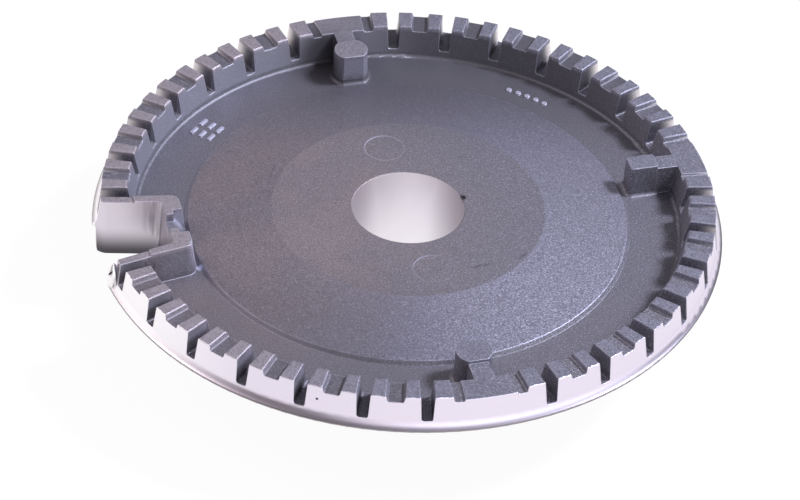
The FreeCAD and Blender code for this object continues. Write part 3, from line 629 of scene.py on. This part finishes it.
FLOOR_HALF = 3.0
FLOOR_DROP = 0.02 * MM
FLOOR_GREY = 0.8
FLOOR_WHITE = 0.93
WHITE_STRENGTH = 1.02


def make_floor():
    """Plain and pale: nearly white to the camera, with the object's own shadow on it."""
    mesh = bpy.data.meshes.new("floor")
    corners = [(-FLOOR_HALF, -FLOOR_HALF, 0), (FLOOR_HALF, -FLOOR_HALF, 0),
               (FLOOR_HALF, FLOOR_HALF, 0), (-FLOOR_HALF, FLOOR_HALF, 0)]
    mesh.from_pydata(corners, [], [(0, 1, 2, 3)])
    floor = bpy.data.objects.new("floor", mesh)
    floor.location = (0, 0, -FLOOR_DROP)
    bpy.context.scene.collection.objects.link(floor)
    material, n = new_material("floor")
    paths = n.add("ShaderNodeLightPath").outputs
    seen = n.any_of(paths["Is Camera Ray"], paths["Is Glossy Ray"], paths["Is Transmission Ray"])
    white = n.add("ShaderNodeEmission", Color=grey(1.0), Strength=WHITE_STRENGTH).outputs[0]
    plain = n.add("ShaderNodeBsdfDiffuse", Color=grey(FLOOR_GREY)).outputs[0]
    mixed = n.mix_shaders(n.math("MULTIPLY", seen, FLOOR_WHITE), plain, white)
    n.add("ShaderNodeOutputMaterial", Surface=mixed)
    mesh.materials.append(material)


# The room that the object mirrors: level by height, brighter to the right, with a glow in front and at left
ROOM_LEFT = (1.00, 0.93, 0.96, 1.0)
ROOM_RIGHT = (0.90, 0.93, 1.00, 1.0)
ROOM_BY_HEIGHT = (0.25, 0.80, 0.10, 0.18)
ROOM_SIDES = (-0.8, 0.8)
LEFT_LEVEL = 0.85
RIGHT_MORE = 0.3
GLOWS = (((0.58, -0.78, 0.22), (0.45, 0.98, 0.0, 1.55)), ((-0.96, 0.20, 0.12), (0.60, 0.98, 0.0, 1.15)))


def make_world():
    """White to the camera, and a soft room to the object."""
    world = bpy.data.worlds.new("world")
    world.use_nodes = True
    n = Nodes(world.node_tree)
    toward = n.add("ShaderNodeTexCoord").outputs["Generated"]
    rightness = n.ramp(n.vector("DOT_PRODUCT", toward, tuple(from_view(1, 0, 0))), *ROOM_SIDES)
    level = n.ramp(n.vector("DOT_PRODUCT", toward, (0.0, 0.0, 1.0)), *ROOM_BY_HEIGHT)
    level = n.math("MULTIPLY", level, n.math("MULTIPLY_ADD", rightness, RIGHT_MORE, LEFT_LEVEL))
    for direction, spread in GLOWS:
        glow = n.ramp(n.vector("DOT_PRODUCT", toward, tuple(from_view(*direction))), *spread)
        level = n.math("ADD", level, glow)
    tint = n.mix(rightness, ROOM_LEFT, ROOM_RIGHT)
    room = n.add("ShaderNodeBackground", Color=tint, Strength=level).outputs[0]
    white = n.add("ShaderNodeBackground", Color=grey(1.0), Strength=1.0).outputs[0]
    mixed = n.mix_shaders(n.add("ShaderNodeLightPath").outputs["Is Camera Ray"], room, white)
    n.add("ShaderNodeOutputWorld", Surface=mixed)
    bpy.context.scene.world = world


# Lamps: name, azimuth and elevation in degrees, distance and size in metres, power in watts, colour.
# Azimuth 0 is to the camera's right and 90 is away from it.
LAMPS = (
    ("key", 12.0, 50.0, 0.9, 0.19, 11.6, (0.84, 0.865, 1.0)),
    ("left fill", 172.0, 48.0, 1.0, 0.5, 2.4, (1.0, 0.92, 0.94)),
    ("back fill", 90.0, 42.0, 1.0, 0.5, 0.3, (0.96, 0.95, 1.0)),
)


def soft_light(name, azimuth, elevation, distance, size, power, colour):
    """An area light aimed at the object."""
    a = math.radians(azimuth)
    e = math.radians(elevation)
    toward = from_view(math.cos(a) * math.cos(e), math.sin(a) * math.cos(e), math.sin(e))
    data = bpy.data.lights.new(name, "AREA")
    data.shape = "DISK"
    data.size = size
    data.energy = power
    data.color = colour
    lamp = bpy.data.objects.new(name, data)
    lamp.location = toward * distance + Vector((0, 0, LIP_PLANE))
    lamp.rotation_mode = "QUATERNION"
    lamp.rotation_quaternion = toward.to_track_quat("Z", "Y")
    bpy.context.scene.collection.objects.link(lamp)


make_camera()
dress_body()
make_floor()
make_world()
for settings in LAMPS:
    soft_light(*settings)

bpy.context.scene.view_settings.view_transform = "Standard"
